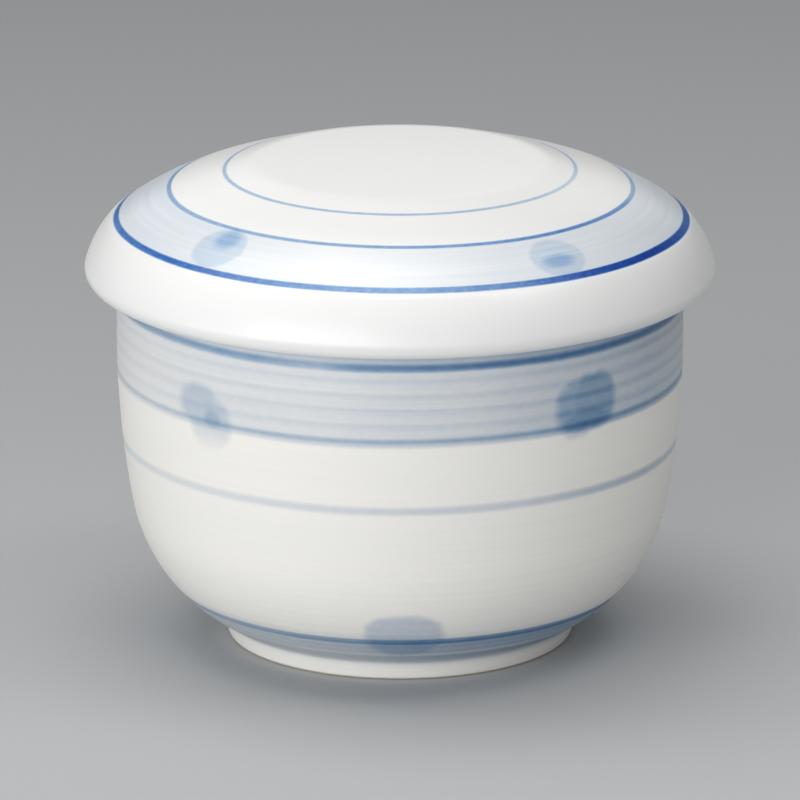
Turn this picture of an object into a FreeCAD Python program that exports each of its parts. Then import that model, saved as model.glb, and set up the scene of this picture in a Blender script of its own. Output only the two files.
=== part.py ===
import FreeCAD, Part
import math
import os
import Sketcher

# A lidded porcelain cup for steamed egg custard.
# Both pieces are turned about +Z. The origin is the middle of the foot's underside, on the table.

# Driving sizes in millimetres, and one count
SIZES = {
    # the cup's outside
    "body_radius": "42.9",
    "cup_height": "59.5",
    "upright_height": "46.2",
    "belly_inset": "2.26",
    "belly_height": "21.3",
    # the foot ring
    "foot_radius": "26.1",
    "foot_flare": "0.8",
    "foot_height": "3.0",
    "foot_width": "4.2",
    "foot_corner": "1.2",
    "foot_edge": "0.7",
    "recess_depth": "3.4",
    "recess_corner": "1.5",
    # the cup's wall, floor and rim
    "wall_width": "3.3",
    "floor_thickness": "4.4",
    "rim_round": "1.0",
    # the shallow thrown rings in the painted band
    "ring_drop": "5.9",
    "ring_pitch": "2.32",
    "ring_count": "6",
    "ring_depth": "0.12",
    "ring_finger": "1.5",
    # the lid's lip, which hangs outside the cup
    "lip_clearance": "1.05",
    "lip_width": "4.15",
    "lip_drop": "3.8",
    "lip_round": "2.0",
    "lip_inner_round": "1.4",
    "side_bulge": "15.3",
    # the lid's dome, from the shoulder over the lip to the gently crowned top
    "shoulder_inset": "4.0",
    "shoulder_rise": "4.92",
    "shoulder_round": "3.0",
    "knee_inset": "13.1",
    "knee_rise": "11.64",
    "crest_inset": "8.5",
    "crest_rise": "14.16",
    "crest_round": "10.0",
    "crown_rise": "0.4",
    "crown_thickness": "4.4",
    # the locating ring, which drops into the cup's mouth, and the seat beside it
    "locating_clearance": "0.6",
    "locating_width": "3.0",
    "locating_drop": "4.8",
    "locating_round": "1.0",
    "seat_corner": "0.8",
    "haunch_rise": "4.5",
    "haunch_round": "4.0",
    "ceiling_round": "15.0",
}

# Places worked out from the sizes, as radii from the axis and heights above the table
PLACES = {
    "belly_radius": "Sizes.body_radius - Sizes.belly_inset",
    "neck_radius": "Sizes.foot_radius + Sizes.foot_flare",
    "recess_radius": "Sizes.foot_radius - Sizes.foot_width",
    "mouth_radius": "Sizes.body_radius - Sizes.wall_width",
    "hollow_belly_radius": "Sizes.body_radius - Sizes.belly_inset - Sizes.wall_width",
    "floor_height": "Sizes.recess_depth + Sizes.floor_thickness",
    "ring_centre_radius": "Sizes.body_radius - Sizes.ring_depth + Sizes.ring_finger",
    "ring_centre_height": "Sizes.cup_height - Sizes.ring_drop",
    "lip_inner_radius": "Sizes.body_radius + Sizes.lip_clearance",
    "lip_outer_radius": "Sizes.body_radius + Sizes.lip_clearance + Sizes.lip_width",
    "lip_height": "Sizes.cup_height - Sizes.lip_drop",
    "shoulder_radius": "lip_outer_radius - Sizes.shoulder_inset",
    "shoulder_height": "Sizes.cup_height + Sizes.shoulder_rise",
    "knee_radius": "lip_outer_radius - Sizes.shoulder_inset - Sizes.knee_inset",
    "knee_height": "Sizes.cup_height + Sizes.knee_rise",
    "crest_radius": "knee_radius - Sizes.crest_inset",
    "crest_height": "Sizes.cup_height + Sizes.crest_rise",
    "crown_height": "Sizes.cup_height + Sizes.crest_rise + Sizes.crown_rise",
    "ceiling_height": "crown_height - Sizes.crown_thickness",
    "locating_outer_radius": "mouth_radius - Sizes.locating_clearance",
    "locating_inner_radius": "mouth_radius - Sizes.locating_clearance - Sizes.locating_width",
    "locating_height": "Sizes.cup_height - Sizes.locating_drop",
    "seat_height": "Sizes.cup_height",
    "haunch_height": "Sizes.cup_height + Sizes.haunch_rise",
}

EDGE_MATCH = 0.02  # how far a corner may lie from the radius and height that it is looked up by
EDGE_SHARE = 0.48  # the most of a wall's width that one rounded edge takes
FIRST_BULGE = 0.05  # how far an arc first stands out, as a share of its chord, before it is made smooth

doc = FreeCAD.newDocument("chawanmushi_cup")


def fill_sheet(name, rows, lead):
    sheet = doc.addObject("Spreadsheet::Sheet", name)
    for number, (alias, content) in enumerate(rows.items(), start=1):
        sheet.set(f"A{number}", alias)
        sheet.set(f"B{number}", lead + content)
        sheet.setAlias(f"B{number}", alias)
    doc.recompute()
    return sheet


sizes = fill_sheet("Sizes", SIZES, "")
places = fill_sheet("Places", PLACES, "=")


def origin_feature(body, role):
    return next(item for item in body.Origin.OriginFeatures if item.Role == role)


def half_sketch(body, name):
    """An empty sketch on the body's XZ plane, in which x is the radius and y the height."""
    sketch = body.newObject("Sketcher::SketchObject", name)
    sketch.AttachmentSupport = [(origin_feature(body, "XZ_Plane"), "")]
    sketch.MapMode = "FlatFace"
    return sketch


def bind(sketch, constraint, expression):
    """Add a dimension to the sketch and tie it to a cell."""
    index = sketch.addConstraint(constraint)
    sketch.setExpression(f"Constraints[{index}]", expression)


def station_value(cell):
    """The number that a cell holds, or nought for the axis or the table."""
    if cell == "zero":
        return 0.0
    sheet, alias = cell.split(".")
    return float(doc.getObject(sheet).get(alias))


def draw_outline(sketch, stations, arcs=(), smooth=(), centred=()):
    """Draw a closed outline through the stations, each a pair of cells for radius and height.

    A None in a station leaves that radius to the outline's own smoothness. arcs lists the spans that
    bulge to the right of the outline's travel. smooth lists the stations where two spans run on without
    a corner. centred lists the arcs whose centre is on the axis.
    """
    corners = [FreeCAD.Vector(0 if radius is None else station_value(radius), station_value(height), 0)
               for radius, height in stations]
    for number, (radius, _) in enumerate(stations):
        if radius is None:
            corners[number].x = (corners[number - 1].x + corners[(number + 1) % len(corners)].x) / 2
    ends = []
    for number, start in enumerate(corners):
        finish = corners[(number + 1) % len(corners)]
        if number not in arcs:
            geometry = sketch.addGeometry(Part.LineSegment(start, finish))
            ends.append((geometry, 1, 2))
            continue
        run = finish - start
        aside = FreeCAD.Vector(run.y, -run.x, 0) * FIRST_BULGE
        geometry = sketch.addGeometry(Part.Arc(start, (start + finish) / 2 + aside, finish))
        arc_start = sketch.getPoint(geometry, 1)
        forward = arc_start.distanceToPoint(start) < arc_start.distanceToPoint(finish)
        ends.append((geometry, 1, 2) if forward else (geometry, 2, 1))
    for number, (radius, height) in enumerate(stations):
        last, _, last_end = ends[number - 1]
        this, this_start, _ = ends[number]
        kind = "Tangent" if number in smooth else "Coincident"
        sketch.addConstraint(Sketcher.Constraint(kind, last, last_end, this, this_start))
        if radius == "zero":
            sketch.addConstraint(Sketcher.Constraint("PointOnObject", this, this_start, -2))
        elif radius is not None:
            value = corners[number].x
            bind(sketch, Sketcher.Constraint("DistanceX", -1, 1, this, this_start, value), radius)
        if height == "zero":
            sketch.addConstraint(Sketcher.Constraint("PointOnObject", this, this_start, -1))
        else:
            value = corners[number].y
            bind(sketch, Sketcher.Constraint("DistanceY", -1, 1, this, this_start, value), height)
    for number in centred:
        sketch.addConstraint(Sketcher.Constraint("PointOnObject", ends[number][0], 3, -2))
    return [geometry for geometry, _, _ in ends]


def turn(body, kind, name, sketch):
    """Turn a sketch once round the axis, as a PartDesign::Revolution or a PartDesign::Groove."""
    before = body.Shape.Volume if body.Tip else 0.0
    feature = body.newObject(kind, name)
    feature.Profile = sketch
    feature.ReferenceAxis = (sketch, ["V_Axis"])
    feature.Angle = 360
    doc.recompute()
    grew = feature.Shape.Volume > before
    if grew != (kind == "PartDesign::Revolution"):
        raise RuntimeError(f"{name} changed the volume the wrong way")
    return feature


def ring_edges(feature, corners):
    """Names of the feature's circular edges at the given corners, each a pair of cells."""
    wanted = [(station_value(radius), station_value(height)) for radius, height in corners]
    names = []
    for number, edge in enumerate(feature.Shape.Edges, start=1):
        if edge.Degenerated or not isinstance(edge.Curve, Part.Circle) or abs(edge.Curve.Axis.z) < 0.5:
            continue
        for radius, height in wanted:
            if math.hypot(edge.Curve.Radius - radius, edge.Curve.Center.z - height) < EDGE_MATCH:
                names.append(f"Edge{number}")
    if len(names) != len(wanted):
        raise RuntimeError(f"{feature.Label} has {len(names)} of the {len(wanted)} corners")
    return names


def round_corners(body, name, expression, corners):
    """Round the circular corners of the body's last feature."""
    base = body.Tip
    fillet = body.newObject("PartDesign::Fillet", name)
    fillet.Base = (base, ring_edges(base, corners))
    fillet.setExpression("Radius", expression)
    doc.recompute()
    return fillet


def new_body(name):
    body = doc.addObject("PartDesign::Body", name)
    body.Label = name
    return body


# The cup is one turned piece, from its foot ring to its rim.
cup = new_body("cup")

# Outside: a foot that flares a little, a round belly, and a side that comes upright below the rim
outside = half_sketch(cup, "CupOutside")
draw_outline(
    outside,
    [("zero", "zero"),
     ("Sizes.foot_radius", "zero"),
     ("Places.neck_radius", "Sizes.foot_height"),
     ("Places.belly_radius", "Sizes.belly_height"),
     ("Sizes.body_radius", "Sizes.upright_height"),
     ("Sizes.body_radius", "Sizes.cup_height"),
     ("zero", "Sizes.cup_height")],
    arcs=[2, 3],
    smooth=[3, 4],
)
turn(cup, "PartDesign::Revolution", "CupBlank", outside)

# Hollow: it keeps the wall's width up the side, and rounds in to a flat floor
hollow = half_sketch(cup, "CupHollow")
draw_outline(
    hollow,
    [("zero", "Places.floor_height"),
     (None, "Places.floor_height"),
     ("Places.hollow_belly_radius", "Sizes.belly_height"),
     ("Places.mouth_radius", "Sizes.upright_height"),
     ("Places.mouth_radius", "Sizes.cup_height"),
     ("zero", "Sizes.cup_height")],
    arcs=[1, 2],
    smooth=[1, 2, 3],
)
turn(cup, "PartDesign::Groove", "CupInside", hollow)

# Recess inside the foot ring
recess = half_sketch(cup, "FootRecess")
draw_outline(
    recess,
    [("zero", "zero"),
     ("Places.recess_radius", "zero"),
     ("Places.recess_radius", "Sizes.recess_depth"),
     ("zero", "Sizes.recess_depth")],
)
turn(cup, "PartDesign::Groove", "FootInside", recess)

round_corners(cup, "FootCorner", "Sizes.foot_corner", [("Places.neck_radius", "Sizes.foot_height")])
round_corners(cup, "RecessCorner", f"min(Sizes.recess_corner; Sizes.recess_depth * {EDGE_SHARE})",
              [("Places.recess_radius", "Sizes.recess_depth")])
round_corners(cup, "FootEdges", f"min(Sizes.foot_edge; Sizes.foot_width * {EDGE_SHARE})",
              [("Sizes.foot_radius", "zero"), ("Places.recess_radius", "zero")])
round_corners(cup, "RimEdges", f"min(Sizes.rim_round; Sizes.wall_width * {EDGE_SHARE})",
              [("Sizes.body_radius", "Sizes.cup_height"), ("Places.mouth_radius", "Sizes.cup_height")])

# Thrown rings: shallow finger grooves, evenly spaced down the painted band
finger = half_sketch(cup, "RingFinger")
finger_start = FreeCAD.Vector(places.ring_centre_radius, places.ring_centre_height, 0)
finger_circle = finger.addGeometry(Part.Circle(finger_start, FreeCAD.Vector(0, 0, 1), sizes.ring_finger))
bind(finger, Sketcher.Constraint("Radius", finger_circle, sizes.ring_finger), "Sizes.ring_finger")
bind(finger, Sketcher.Constraint("DistanceX", -1, 1, finger_circle, 3, finger_start.x),
     "Places.ring_centre_radius")
bind(finger, Sketcher.Constraint("DistanceY", -1, 1, finger_circle, 3, finger_start.y),
     "Places.ring_centre_height")
top_ring = turn(cup, "PartDesign::Groove", "TopRing", finger)

smooth_volume = cup.Shape.Volume
rings = cup.newObject("PartDesign::LinearPattern", "BandRings")
rings.Originals = [top_ring]
rings.Direction = (finger, ["V_Axis"])
rings.Reversed = True
rings.Mode = "Spacing"
rings.setExpression("Offset", "Sizes.ring_pitch")
rings.setExpression("Occurrences", "Sizes.ring_count")
cup.Tip = rings
doc.recompute()
if cup.Shape.Volume >= smooth_volume:
    raise RuntimeError("the band rings cut nothing")

# The lid is one turned piece: a dome with a lip outside the cup's rim and a ring inside it.
lid = new_body("lid")

# Outside: a gentle crown within the crest, a cone, a dome to the shoulder, and the bulged side of the lip
dome = half_sketch(lid, "LidOutside")
spans = draw_outline(
    dome,
    [("zero", "Places.lip_height"),
     ("Places.lip_outer_radius", "Places.lip_height"),
     ("Places.shoulder_radius", "Places.shoulder_height"),
     ("Places.knee_radius", "Places.knee_height"),
     ("Places.crest_radius", "Places.crest_height"),
     ("zero", "Places.crown_height")],
    arcs=[1, 2, 4],
    smooth=[3],
    centred=[4],
)
bind(dome, Sketcher.Constraint("Radius", spans[1], sizes.side_bulge), "Sizes.side_bulge")
turn(lid, "PartDesign::Revolution", "LidBlank", dome)

# Locating ring, which stands down into the cup's mouth
locating = half_sketch(lid, "LocatingRing")
draw_outline(
    locating,
    [("Places.locating_inner_radius", "Places.locating_height"),
     ("Places.locating_outer_radius", "Places.locating_height"),
     ("Places.locating_outer_radius", "Places.seat_height"),
     ("Places.locating_inner_radius", "Places.seat_height")],
)
turn(lid, "PartDesign::Revolution", "LidRing", locating)

# Seat: the channel between the lip and the ring, whose flat ceiling sits on the cup's rim
seat = half_sketch(lid, "RimSeat")
draw_outline(
    seat,
    [("Places.locating_outer_radius", "Places.locating_height"),
     ("Places.lip_inner_radius", "Places.locating_height"),
     ("Places.lip_inner_radius", "Places.seat_height"),
     ("Places.locating_outer_radius", "Places.seat_height")],
)
turn(lid, "PartDesign::Groove", "LidSeat", seat)

# Hollow under the dome, within the locating ring
crown = half_sketch(lid, "CrownHollow")
draw_outline(
    crown,
    [("zero", "Places.locating_height"),
     ("Places.locating_inner_radius", "Places.locating_height"),
     ("Places.locating_inner_radius", "Places.haunch_height"),
     ("Places.crest_radius", "Places.ceiling_height"),
     ("zero", "Places.ceiling_height")],
)
turn(lid, "PartDesign::Groove", "LidInside", crown)

round_corners(lid, "Crest", "Sizes.crest_round", [("Places.crest_radius", "Places.crest_height")])
round_corners(lid, "Shoulder", "Sizes.shoulder_round", [("Places.shoulder_radius", "Places.shoulder_height")])
round_corners(lid, "LipOutside", f"min(Sizes.lip_round; Sizes.lip_width * {EDGE_SHARE})",
              [("Places.lip_outer_radius", "Places.lip_height")])
round_corners(lid, "LipInside", f"min(Sizes.lip_inner_round; Sizes.lip_width * {EDGE_SHARE})",
              [("Places.lip_inner_radius", "Places.lip_height")])
round_corners(lid, "RingEdges", f"min(Sizes.locating_round; Sizes.locating_width * {EDGE_SHARE})",
              [("Places.locating_inner_radius", "Places.locating_height"),
               ("Places.locating_outer_radius", "Places.locating_height")])
round_corners(lid, "SeatCorners", "Sizes.seat_corner",
              [("Places.lip_inner_radius", "Places.seat_height"),
               ("Places.locating_outer_radius", "Places.seat_height")])
round_corners(lid, "Haunch", "Sizes.haunch_round",
              [("Places.locating_inner_radius", "Places.haunch_height")])
round_corners(lid, "Ceiling", "Sizes.ceiling_round", [("Places.crest_radius", "Places.ceiling_height")])

doc.recompute()
for item in doc.Objects:
    if "Invalid" in item.State or "Error" in item.State:
        raise RuntimeError(f"{item.Label} failed: {item.State}")

os.makedirs("parts", exist_ok=True)
for body in (cup, lid):
    if body.Shape.isNull() or not body.Shape.isValid():
        raise RuntimeError(f"{body.Label} has no valid shape")
    body.Shape.exportStep(f"parts/{body.Label}.step")
    box = body.Shape.optimalBoundingBox(False)
    print(f"{body.Label}: {len(body.Shape.Solids)} solid, {body.Shape.Volume / 1000:.2f} cm3, "
          f"height {box.ZMin:.3f} to {box.ZMax:.3f}, width {box.XLength:.3f}")
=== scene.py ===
import math

import bpy
import numpy as np
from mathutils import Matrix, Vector


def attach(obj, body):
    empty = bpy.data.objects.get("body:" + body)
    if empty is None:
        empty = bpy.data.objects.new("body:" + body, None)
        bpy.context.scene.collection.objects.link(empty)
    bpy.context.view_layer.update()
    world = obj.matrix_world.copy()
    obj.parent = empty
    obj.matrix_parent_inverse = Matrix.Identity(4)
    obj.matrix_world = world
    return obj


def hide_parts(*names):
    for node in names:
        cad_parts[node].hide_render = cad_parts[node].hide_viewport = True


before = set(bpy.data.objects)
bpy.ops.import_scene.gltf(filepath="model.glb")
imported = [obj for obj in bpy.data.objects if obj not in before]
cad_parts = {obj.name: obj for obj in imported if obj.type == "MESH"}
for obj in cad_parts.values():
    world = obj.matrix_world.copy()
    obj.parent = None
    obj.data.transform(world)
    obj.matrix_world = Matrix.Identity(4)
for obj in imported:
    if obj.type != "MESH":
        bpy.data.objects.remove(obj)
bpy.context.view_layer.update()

# The cup is thrown and turned porcelain, a deep bowl on a low foot ring, open at the top.
# The blue is brushed on the bare clay as the cup turns, and lies under a cream-white satin glaze.
# The foot ring's underside is wiped free of glaze, and the cup stands on it.
MM = 0.001
# Outlines in millimetres: the radius and height that each span leads to, and the radius of its arc.
# Nought is a straight span, and minus an arc that bulges to the right of the way along.
CUP_UNDER = [
    (0.0, 3.4, 0), (20.4, 3.4, 0), (21.9, 1.9, 1.5), (21.9, 0.7, 0), (22.6, 0.0, -0.7), (25.562, 0.0, 0),
    (26.239, 0.52, -0.7),
]
CUP_SIDE = [
    (26.239, 0.52, 0), (26.763, 2.485, 0), (27.364, 3.238, 1.2), (40.64, 21.3, -25.619), (42.9, 46.2, -138.3),
    (42.9, 58.5, 0),
]
CUP_INSIDE = [
    (42.9, 58.5, 0), (41.9, 59.5, -1.0), (40.6, 59.5, 0), (39.6, 58.5, -1.0), (39.6, 46.2, 0),
    (37.34, 21.3, 138.3), (21.145, 7.8, 16.464), (0.0, 7.8, 0),
]
# How far apart the points of an outline are: on hidden or plain spans, on spans with relief, and in radians on arcs.
PLAIN_STEP = 1.0
RELIEF_STEP = 0.25
ARC_STEP = 0.12
TURN_STEPS = 216
# The thrower's finger rings under the rim, and the turning tool's ridges between the foot and the rings.
RING_TOP = 53.6
RING_PITCH = 2.32
RING_COUNT = 6
RING_DEPTH = 0.06
RING_FINGER = 1.5
RIDGE_DEPTH = 0.020
RIDGE_LOW = 5
RIDGE_HIGH = 41


def outline_points(outline, step):
    """Points along an outline, about step apart and closer on tight arcs."""
    points = [np.array(outline[0][:2])]
    for radius, height, bend in outline[1:]:
        start, finish = points[-1], np.array((radius, height))
        chord = finish - start
        length = math.hypot(*chord)
        if bend == 0:
            count = math.ceil(length / step)
            points += [start + chord * k / count for k in range(1, count + 1)]
            continue
        side = math.copysign(1, bend)
        left = np.array((-chord[1], chord[0])) / length
        centre = (start + finish) / 2 - left * side * math.sqrt(bend ** 2 - length ** 2 / 4)
        sweep = -side * 2 * math.asin(length / 2 / abs(bend))
        begin = math.atan2(*(start - centre)[::-1])
        count = math.ceil(max(abs(sweep * bend) / step, abs(sweep) / ARC_STEP))
        angles = [begin + sweep * k / count for k in range(1, count + 1)]
        points += [centre + abs(bend) * np.array((math.cos(a), math.sin(a))) for a in angles]
    return np.array(points)


def relieved(points, depth):
    """The points pushed into the clay by depth(radius, height), square to the outline."""
    along = np.gradient(points, axis=0)
    along /= np.linalg.norm(along, axis=1)[:, None]
    inward = np.stack((-along[:, 1], along[:, 0]), axis=1)
    return points + inward * np.array([depth(*p) for p in points])[:, None]


def turned(name, *parts):
    """A smooth mesh turned once round the axis. The parts of its outline follow on and end on the axis."""
    points = np.vstack([parts[0]] + [part[1:] for part in parts[1:]])
    rows = points[1:-1]
    angles = np.arange(TURN_STEPS) * 2 * math.pi / TURN_STEPS
    rings = np.empty((len(rows), TURN_STEPS, 3))
    rings[:, :, 0] = rows[:, :1] * np.cos(angles)
    rings[:, :, 1] = rows[:, :1] * np.sin(angles)
    rings[:, :, 2] = rows[:, 1:]
    ends = np.array([(0, 0, points[0, 1]), (0, 0, points[-1, 1])])
    places = np.concatenate((rings.reshape(-1, 3), ends)) * MM
    here = np.arange(TURN_STEPS)
    after = np.roll(here, -1)
    faces = []
    for row in range(len(rows) - 1):
        low, high = row * TURN_STEPS, (row + 1) * TURN_STEPS
        faces += np.stack((low + here, low + after, high + after, high + here), axis=1).tolist()
    first, last = len(places) - 2, len(places) - 1
    top = (len(rows) - 1) * TURN_STEPS
    for a, b in zip(here.tolist(), after.tolist()):
        faces += [(first, b, a), (top + a, top + b, last)]
    mesh = bpy.data.meshes.new(name)
    mesh.from_pydata(places.tolist(), [], faces)
    mesh.shade_smooth()
    piece = bpy.data.objects.new(name, mesh)
    bpy.context.scene.collection.objects.link(piece)
    return piece


def cup_relief(radius, height):
    """Six finger rings under the rim, and the turning tool's faint ridges down the body."""
    number = min(max(round((RING_TOP - height) / RING_PITCH), 0), RING_COUNT - 1)
    off = height - (RING_TOP - number * RING_PITCH)
    ring = math.sqrt(max(RING_FINGER ** 2 - off ** 2, 0)) - (RING_FINGER - RING_DEPTH)
    fade = min(1, max(0, (RIDGE_HIGH - height) / 2)) * min(1, max(0, (height - RIDGE_LOW) / 4))
    ridge = 0.5 + 0.3 * math.sin(height * 5.98) + 0.2 * math.sin(height * 3.7 + 1)
    return max(0, ring) + RIDGE_DEPTH * fade * ridge


class Field:
    """A value that varies over a piece. Sums and products of fields become the material's nodes."""

    def __init__(self, tree, socket):
        self.tree = tree
        self.socket = socket

    def node(self, kind, settings, values, output=0):
        """A new node: its settings come first, then each socket gets its value or its link."""
        made = self.tree.nodes.new(kind)
        for name, value in settings.items():
            setattr(made, name, value)
        for key, value in values.items():
            if isinstance(value, Field):
                self.tree.links.new(value.socket, made.inputs[key])
            else:
                made.inputs[key].default_value = value
        return Field(self.tree, made.outputs[output])

    def maths(self, operation, *others):
        return self.node("ShaderNodeMath", {"operation": operation}, dict(enumerate((self, *others))))

    def __add__(self, other):
        return self.maths("ADD", other)

    def __sub__(self, other):
        return self.maths("SUBTRACT", other)

    def __mul__(self, other):
        return self.maths("MULTIPLY", other)

    def __truediv__(self, other):
        return self.maths("DIVIDE", other)

    def __neg__(self):
        return self * -1

    def __rsub__(self, other):
        return -self + other

    def __pow__(self, other):
        return self.maths("POWER", other)

    __radd__ = __add__
    __rmul__ = __mul__

    def size(self):
        return self.maths("ABSOLUTE")

    def rise(self, low, high):
        """Nought up to low, one from high on, and smooth between."""
        return self.node("ShaderNodeMapRange", {"interpolation_type": "SMOOTHSTEP"},
                         {"Value": self, "From Min": low, "From Max": high})

    def mix(self, blend, share, first, second):
        """Two colours mixed."""
        return self.node("ShaderNodeMix", {"data_type": "RGBA", "blend_type": blend},
                         {"Factor": share, 6: first, 7: second}, 2)

    def stops(self, values):
        """A value that runs through the stops, given as {place from 0 to 1: value}."""
        most = max(values.values())
        ramp = self.node("ShaderNodeValToRGB", {}, {"Fac": self})
        elements = ramp.socket.node.color_ramp.elements
        elements.remove(elements[1])
        for number, (place, value) in enumerate(sorted(values.items())):
            element = elements.new(place) if number else elements[0]
            element.position = place
            element.color = (value / most,) * 3 + (1,)
        return ramp * most


class Surface:
    """One piece's surface as its painter sees it: where a point lies, in millimetres and degrees."""

    def __init__(self, tree):
        base = Field(tree, None)
        self.spot = base.node("ShaderNodeTexCoord", {}, {}, "Object")
        self.facing = base.node("ShaderNodeTexCoord", {}, {}, "Normal")
        place = self.spot.node("ShaderNodeVectorMath", {"operation": "SCALE"}, {0: self.spot, "Scale": 1 / MM})
        self.x, self.y, self.z = (place.node("ShaderNodeSeparateXYZ", {}, {0: place}, axis) for axis in "XYZ")
        self.radius = (self.x * self.x + self.y * self.y) ** 0.5
        self.around = self.x.maths("ARCTAN2", -self.y) * (180 / math.pi)
        self.up = self.facing.node("ShaderNodeSeparateXYZ", {}, {0: self.facing}, "Z")
        level = self.facing.node("ShaderNodeCombineXYZ", {}, {0: self.x / self.radius, 1: self.y / self.radius})
        self.outward = level.node("ShaderNodeVectorMath", {"operation": "DOT_PRODUCT"},
                                  {0: self.facing, 1: level}, "Value")

    def round_by(self, values):
        """A value that runs through the stops round the piece, given as {degrees from the front: value}."""
        return (self.around / 360 + 0.5).stops({degrees / 360 + 0.5: value for degrees, value in values.items()})

    def noise(self, across, reach, pitch, seed, detail=2):
        """Noise from 0 to 1 that is reach long round the piece and pitch long across it."""
        where = self.x.node("ShaderNodeCombineXYZ", {}, {0: self.x / reach, 1: self.y / reach, 2: across / pitch})
        return self.x.node("ShaderNodeTexNoise", {"noise_dimensions": "4D"},
                           {"Vector": where, "W": seed, "Scale": 1.0, "Detail": detail})

    def line(self, across, place, width, blur):
        """One on a brushed line, nought beside it."""
        return 1 - (across - place).size().rise(width / 2 - blur / 2, width / 2 + blur / 2)

    def dab(self, across, degrees, place, half_turn, half_height, blur, seed, square=2):
        """One within a brush dab, nought beside it: an oval, or squarer when square is above 2."""
        # The nearer way round, so that a dab isn't cut off at the back.
        sideways = (180 - ((self.around - degrees).size() - 180).size()) / half_turn
        upright = (across - place) / half_height
        ragged = (self.noise(across, 2.5, 2.5, seed) - 0.5) * 0.22
        oval = (sideways ** square + upright.size() ** square) ** (1 / square)
        return 1 - (oval + ragged).rise(1 - blur, 1 + blur)

    def dabs(self, across, rows):
        """Several dabs together, each row being one dab's values and the thickness of its coat."""
        return sum(self.dab(across, *row) * coat for *row, coat in rows)


BARE_CLAY = (0.72, 0.66, 0.56, 1)
BARE_ROUGHNESS = 0.8
GLAZE_IOR = 1.5


def glaze(material, white, paint, tint, roughness, bare):
    """Glazed porcelain: white where it isn't painted, and seen through the coat of cobalt where it is.

    tint says how much green and blue light a thin coat and a thick coat stop beside red. bare is one where
    there is no glaze.
    """
    (thin_green, thick_green), (thin_blue, thick_blue) = tint
    red = (-paint).maths("EXPONENT")
    green = (-paint * (thick_green + red * (thin_green - thick_green))).maths("EXPONENT")
    blue = (-paint * (thick_blue + red * (thin_blue - thick_blue))).maths("EXPONENT")
    passed = paint.node("ShaderNodeCombineColor", {}, {"Red": red, "Green": green, "Blue": blue})
    painted = paint.mix("MULTIPLY", 1.0, (*white, 1), passed)
    colour = paint.mix("MIX", bare, painted, BARE_CLAY)
    rough = roughness + bare * (BARE_ROUGHNESS - roughness)
    shader = paint.tree.nodes["Principled BSDF"]
    shader.inputs["IOR"].default_value = GLAZE_IOR
    paint.tree.links.new(colour.socket, shader.inputs["Base Color"])
    paint.tree.links.new(rough.socket, shader.inputs["Roughness"])


def new_material(name):
    material = bpy.data.materials.new(name)
    material.use_nodes = True
    return material


cup = turned("cup_body", outline_points(CUP_UNDER, PLAIN_STEP),
             relieved(outline_points(CUP_SIDE, RELIEF_STEP), cup_relief), outline_points(CUP_INSIDE, PLAIN_STEP))
cup_material = new_material("cup_porcelain")
cup.data.materials.append(cup_material)
spot = Surface(cup_material.node_tree)
# The wheel wobbles a little, and the painting with it.
height = spot.z + (spot.noise(spot.z, 30, 30, 3.1, 1) - 0.5) * 0.5
sway = spot.x / spot.radius
outside = spot.outward.rise(0.2, 0.5)

# Coats of cobalt, thicker as the number goes up. The brush leaves streaks, and the wash pools in the finger rings.
CUP_TOP_LINE = 53.4
CUP_LOW_LINE = 41.95
CUP_THIN_LINE = 31.25
CUP_FOOT_LINE = 8.45
streaks = spot.noise(spot.z, 40, 0.55, 7.7, 3)
ring_off = ((RING_TOP - spot.z) / RING_PITCH + 0.5).maths("FRACT") - 0.5
pooled = 1 - ring_off.size().rise(0.05, 0.32)
# Above the top line, up under the lid's lip, the wash is made thicker: painted shade where the lip shades the cup.
wash = height.rise(41.6, 42.2) * spot.round_by(
    {-180: 0.22, -110: 0.2, -60: 0.18, -45: 0.23, -30: 0.27, -15: 0.27, 0: 0.33, 15: 0.33, 30: 0.44, 45: 0.5,
     60: 0.6, 75: 0.46, 110: 0.3, 150: 0.28, 180: 0.22}) * (
    0.55 + streaks * 0.7 + pooled * 0.38 + height.rise(CUP_TOP_LINE, CUP_TOP_LINE + 0.8) * 0.8)
top_line = spot.line(height, CUP_TOP_LINE - sway * 0.2, 1.0, 0.85) * spot.round_by(
    {-180: 1.3, -120: 1.6, -60: 1.0, -30: 1.1, -20: 0.75, -16: 0.7, -8: 1.5, 18: 1.9, 45: 2.0, 80: 1.4, 130: 1.1,
     180: 1.3})
low_line = spot.line(height, CUP_LOW_LINE, 1.1, 1.0) * spot.round_by(
    {-180: 0.8, -140: 0.5, -60: 0.32, -48: 0.4, -28: 0.5, 0: 0.6, 30: 0.8, 50: 1.1, 75: 0.95, 120: 0.6, 180: 0.8})
thin_line = spot.line(height, CUP_THIN_LINE, 1.15, 0.9) * spot.round_by(
    {-180: 0.5, -120: 0.3, -60: 0.2, 0: 0.33, 25: 0.36, 45: 0.6, 60: 0.68, 75: 0.42, 120: 0.3, 180: 0.5})
foot_line = spot.line(height, CUP_FOOT_LINE, 1.0, 0.5) * spot.round_by(
    {-180: 1.5, -120: 1.2, -60: 0.8, -12: 1.1, 12: 1.5, 60: 1.7, 120: 1.3, 180: 1.5})
foot_glow = spot.line(height, 9.1, 1.3, 1.2) * 0.12
foot_wash = (1 - height.rise(8.2, 8.6)) * height.rise(1.8, 4.3) * spot.round_by(
    {-180: 0.8, -120: 0.7, -60: 0.46, -12: 0.56, 12: 0.9, 44: 1.2, 90: 1.0, 180: 0.8}) * (
    0.35 + streaks + spot.line(height, 7.1, 0.5, 0.5) * 0.25 - spot.line(height, 5.4, 0.5, 0.5) * 0.35
    + spot.line(height, 4.5, 0.9, 0.8) * 0.25)
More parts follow.
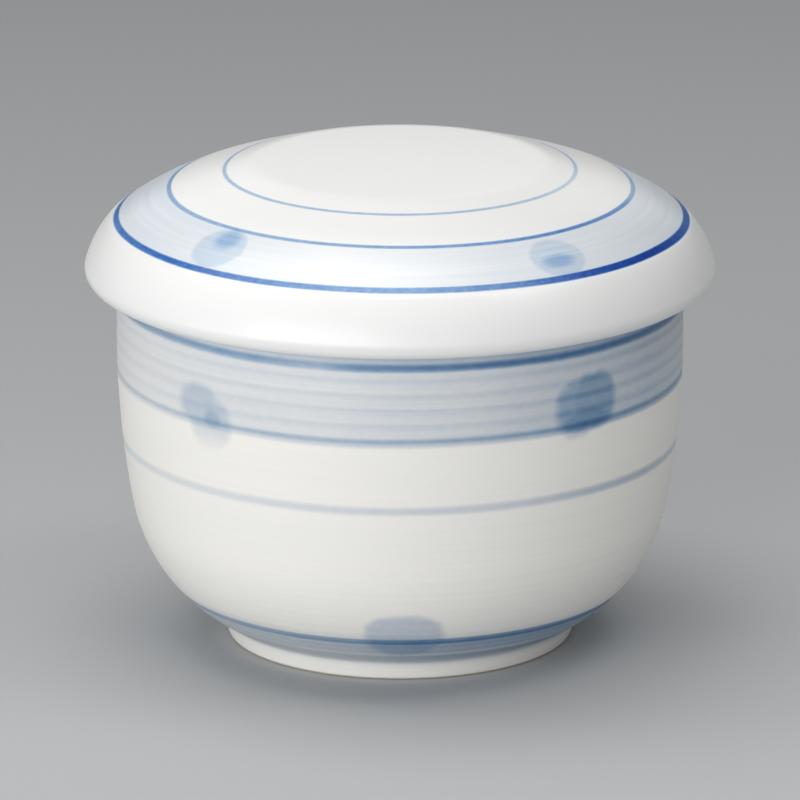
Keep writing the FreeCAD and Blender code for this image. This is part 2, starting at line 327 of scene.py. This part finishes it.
# Each band dab is two touches of the brush, and the paint gathers at their foot.
left_dab = (spot.dab(spot.z, -44.2, 44.6, 5.2, 3.1, 0.3, 1.0) * 0.36).maths(
    "MAXIMUM", spot.dab(spot.z, -41.2, 42.0, 5.2, 4.3, 0.24, 1.3) * spot.z.rise(36.5, 42.5) * 0.32)
right_dab = (spot.dab(spot.z, 42.2, 45.4, 5.7, 4.2, 0.2, 2.0, 2.6) * 0.92).maths(
    "MAXIMUM", spot.dab(spot.z, 38.0, 44.7, 5.2, 4.1, 0.24, 2.3, 2.4) * 0.78) * (0.85 + pooled * 0.3)
foot_dab = spot.dab(spot.z, 1.0, 9.6, 9.5, 4.1, 0.16, 3.0, 2.3) * (0.28 + streaks * 0.3)
# Degrees from the front, height, half the width in degrees, half the height, blur, seed and coat.
other_dabs = spot.dabs(spot.z, [
    (-40.6, 42.7, 1.8, 1.2, 0.6, 1.6, 0.4), (40.6, 42.6, 5.8, 1.7, 0.3, 2.6, 0.4),
    (124.0, 44.6, 7.2, 5.3, 0.14, 4.0, 0.6), (-128.0, 44.2, 7.2, 5.3, 0.14, 5.0, 0.7),
    (92.0, 9.8, 9.0, 4.0, 0.14, 6.0, 0.5), (-90.0, 9.5, 9.0, 4.0, 0.14, 7.0, 0.45),
    (180.0, 9.7, 9.2, 4.0, 0.14, 8.0, 0.45),
])
lines = (top_line + low_line + thin_line + foot_line) * (0.8 + streaks * 0.4)
turning_marks = spot.noise(spot.z, 60, 0.8, 2.2, 3) * 0.07
grain = 0.8 + spot.noise(spot.z, 1.2, 0.8, 5.5) * 0.4
cup_paint = (wash + lines + foot_wash + foot_glow + left_dab + right_dab + foot_dab + other_dabs
             + turning_marks) * grain * outside

CUP_WHITE = (0.92, 0.902, 0.85)
CUP_COBALT = ((0.88, 0.63), (0.58, 0.34))
CUP_ROUGHNESS = 0.42
cup_bare = 1 - spot.z.rise(0.25, 0.5)
glaze(cup_material, CUP_WHITE, cup_paint, CUP_COBALT, CUP_ROUGHNESS, cup_bare)
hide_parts("cup")
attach(cup, "root")

# The lid is turned from one piece of porcelain too: a dome with a gently crowned top and a lip outside the rim.
# A ring under it drops into the cup's mouth and keeps it in the middle, and it rests by its own weight.
# Its blue lines and dabs are crisper and bluer, under a glossier glaze.
LID_INSIDE = [
    (0.0, 69.66, 0), (19.483, 69.66, 0), (25.283, 68.493, 15.0), (33.547, 65.029, 0), (36.0, 61.34, 4.0),
    (36.0, 55.7, 0), (37.0, 54.7, -1.0), (38.0, 54.7, 0), (39.0, 55.7, -1.0), (39.0, 58.7, 0), (39.8, 59.5, 0.8),
    (43.15, 59.5, 0), (43.95, 58.7, 0.8), (43.95, 57.1, 0), (45.35, 55.7, -1.4), (45.681, 55.7, 0),
    (47.595, 58.244, -1.992),
]
LID_OUTSIDE = [
    (47.595, 58.244, 0), (44.297, 64.204, -15.3), (43.884, 64.587, -3.0), (31.0, 71.14, -39.858),
    (23.723, 73.298, 0), (21.215, 73.704, -10.0), (0.0, 74.06, -633.013),
]
LID_RING_DEPTH = 0.008
LID_RING_INNER = 35
LID_RING_OUTER = 44


def lid_relief(radius, height):
    """Faint throwing rings in the painted band."""
    fade = min(1, max(0, (radius - LID_RING_INNER) / 1.5)) * min(1, max(0, (LID_RING_OUTER - radius) / 1.5))
    return LID_RING_DEPTH * fade * (0.5 + 0.5 * math.sin(radius * 3.93))


lid = turned("lid_body", outline_points(LID_INSIDE, PLAIN_STEP),
             relieved(outline_points(LID_OUTSIDE, RELIEF_STEP), lid_relief))
lid_material = new_material("lid_porcelain")
lid.data.materials.append(lid_material)
spot = Surface(lid_material.node_tree)
reach = spot.radius + (spot.noise(spot.radius, 30, 30, 9.2, 1) - 0.5) * 0.5
sway = spot.x / spot.radius
outside = spot.up.rise(0.3, 0.5)

# The three rings by their radius, and the wash between the middle one and the outer one.
LID_INNER_LINE = 26.5
LID_MIDDLE_LINE = 34.98
LID_OUTER_LINE = 43.0
streaks = spot.noise(spot.radius, 40, 0.5, 4.4, 3)
inner_line = spot.line(reach, LID_INNER_LINE, 0.55, 0.3) * spot.round_by(
    {-180: 1.0, -120: 1.1, -60: 0.9, 0: 0.85, 50: 0.8, 62: 0.6, 75: 0.5, 90: 0.8, 140: 1.0, 180: 1.0})
middle_line = spot.line(reach, LID_MIDDLE_LINE + sway * 0.1, 0.62, 0.3) * spot.round_by(
    {-180: 1.4, -120: 1.7, -84: 1.5, -48: 1.1, 0: 1.4, 24: 1.7, 48: 2.2, 74: 2.1, 79: 1.2, 108: 0.8, 150: 1.0,
     180: 1.4})
outer_line = spot.line(reach, LID_OUTER_LINE + sway * 0.15, 0.86 + sway * 0.1, 0.3) * spot.round_by(
    {-180: 2.4, -120: 2.8, -84: 2.5, -48: 3.0, -36: 2.8, -20: 1.9, 0: 1.6, 15: 1.9, 24: 2.3, 34: 3.6, 60: 5.0,
     84: 3.4, 120: 2.2, 150: 1.8, 180: 2.4})
wash = reach.rise(34.9, 35.3) * (1 - reach.rise(42.6, 43.1)) * spot.round_by(
    {-180: 0.2, -100: 0.26, -60: 0.22, -36: 0.16, -15: 0.06, 12: 0.14, 24: 0.2, 50: 0.2, 75: 0.24, 110: 0.2,
     150: 0.14, 180: 0.2}) * (0.25 + streaks * 1.5)
# Each dab has a wide pale touch and a small dark one on it.
left_dab = (spot.dab(reach, -43.5, 38.8, 6.6, 3.6, 0.10, 1.5) * (0.18 + streaks * 0.24)
            + spot.dab(reach, -43.2, 37.3, 3.0, 1.7, 0.5, 2.5) * (0.3 + streaks * 0.55))
right_dab = (spot.dab(reach, 36.0, 39.5, 6.6, 3.4, 0.10, 3.5) * (0.1 + streaks * 0.32)
             + spot.dab(reach, 35.6, 40.2, 3.6, 1.0, 0.55, 4.5) * (0.3 + streaks * 0.75))
other_dabs = spot.dabs(reach, [
    (118.0, 39.2, 6.6, 3.4, 0.10, 5.5, 0.34), (118.5, 38.2, 3.4, 1.2, 0.4, 6.5, 0.4),
    (-126.0, 39.0, 6.6, 3.5, 0.10, 7.5, 0.32), (-126.0, 40.2, 3.4, 1.0, 0.4, 8.5, 0.4),
])
grain = 0.55 + spot.noise(spot.radius, 0.7, 0.5, 6.5) * 0.9
lid_paint = (wash + (inner_line + middle_line + outer_line) * grain + left_dab + right_dab + other_dabs) * outside

LID_WHITE = (0.86, 0.857, 0.85)
LID_COBALT = ((0.72, 0.58), (0.42, 0.2))
LID_ROUGHNESS = 0.28
lid_bare = 1 - spot.z.rise(54.8, 55.2)
glaze(lid_material, LID_WHITE, lid_paint, LID_COBALT, LID_ROUGHNESS, lid_bare)
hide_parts("lid")
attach(lid, "root")

# The table is one plain grey sheet of paper that runs on as the wall behind it, much wider than the picture.
# Its colour is painted darker towards the back: painted shade, for the lamps' light falling off away from the front.
FLOOR_HALF = 3.0
FLOOR_COLOUR = (0.505, 0.517, 0.529, 1)
FLOOR_ROUGHNESS = 0.8
# Where the painted shade begins and ends, in millimetres behind the cup, and the share of the colour on the way.
SHADE_NEAR, SHADE_FAR = -90, 410
PAINTED_SHADE = {0: 0.96, 0.13: 0.92, 0.25: 0.86, 0.43: 0.79, 0.69: 0.72, 1: 0.63}
floor_mesh = bpy.data.meshes.new("table")
floor_mesh.from_pydata([(-FLOOR_HALF, -FLOOR_HALF, 0), (FLOOR_HALF, -FLOOR_HALF, 0), (FLOOR_HALF, FLOOR_HALF, 0),
                        (-FLOOR_HALF, FLOOR_HALF, 0)], [], [(0, 1, 2, 3)])
floor = bpy.data.objects.new("table", floor_mesh)
bpy.context.scene.collection.objects.link(floor)
floor_material = new_material("table_sheet")
floor_shader = floor_material.node_tree.nodes["Principled BSDF"]
floor_spot = Surface(floor_material.node_tree)
# Painted shade: the sheet's colour darkens with the distance behind the cup.
shade = ((floor_spot.y - SHADE_NEAR) / (SHADE_FAR - SHADE_NEAR)).stops(PAINTED_SHADE)
floor_colour = shade.mix("MULTIPLY", 1.0, FLOOR_COLOUR, shade)
floor_material.node_tree.links.new(floor_colour.socket, floor_shader.inputs["Base Color"])
floor_shader.inputs["Roughness"].default_value = FLOOR_ROUGHNESS
floor_shader.inputs["Specular IOR Level"].default_value = 0.0
floor.data.materials.append(floor_material)

# Soft lamps: a large one to the left in front, one overhead, weaker ones round them, and a low even light.
# All face the middle of the cup.
LAMP_AIM = Vector((0, 0, 0.04))


def soft_lamp(name, place, width, height, power):
    """A rectangular lamp."""
    light = bpy.data.lights.new(name, "AREA")
    light.shape = "RECTANGLE"
    light.size = width
    light.size_y = height
    light.energy = power
    lamp = bpy.data.objects.new(name, light)
    lamp.location = place
    lamp.rotation_euler = (LAMP_AIM - lamp.location).to_track_quat("-Z", "Y").to_euler()
    bpy.context.scene.collection.objects.link(lamp)


soft_lamp("overhead", (-0.27, 0.13, 1.0), 0.62, 0.85, 4.0)
soft_lamp("ceiling", (0.25, 0.1, 1.2), 0.9, 0.9, 2.7)
soft_lamp("front_left", (-0.58, -0.95, 0.36), 1.0, 0.6, 6.7)
soft_lamp("front", (0.15, -1.7, 0.35), 1.2, 0.6, 2.9)
soft_lamp("left", (-1.0, -0.5, 0.15), 0.7, 0.25, 1.3)
soft_lamp("upper_right", (0.55, -0.15, 1.0), 0.4, 0.4, 1.1)
soft_lamp("back", (0.0, 1.3, 0.6), 1.2, 0.6, 1.6)

# The room is darker where the glaze mirrors it.
ROOM_LIGHT = 0.27
MIRRORED_SHARE = 0.2
world = bpy.data.worlds.new("room")
world.use_nodes = True
room = world.node_tree.nodes["Background"]
mirrored = Field(world.node_tree, None).node("ShaderNodeLightPath", {}, {}, "Is Glossy Ray")
room_light = (1 - mirrored * (1 - MIRRORED_SHARE)) * ROOM_LIGHT
world.node_tree.links.new(room_light.socket, room.inputs["Strength"])
room.inputs["Color"].default_value = (1, 1, 1, 1)
bpy.context.scene.world = world

# The camera looks a little down on the cup through a long lens.
camera = bpy.data.objects.new("camera", bpy.data.cameras.new("camera"))
camera.data.lens = 410.85
camera.data.sensor_width = 36
camera.location = (0, -1.3317, 0.4221)
camera.rotation_euler = (math.radians(73.84), 0, 0)
bpy.context.scene.collection.objects.link(camera)
bpy.context.scene.camera = camera
bpy.context.scene.view_settings.view_transform = "Standard"
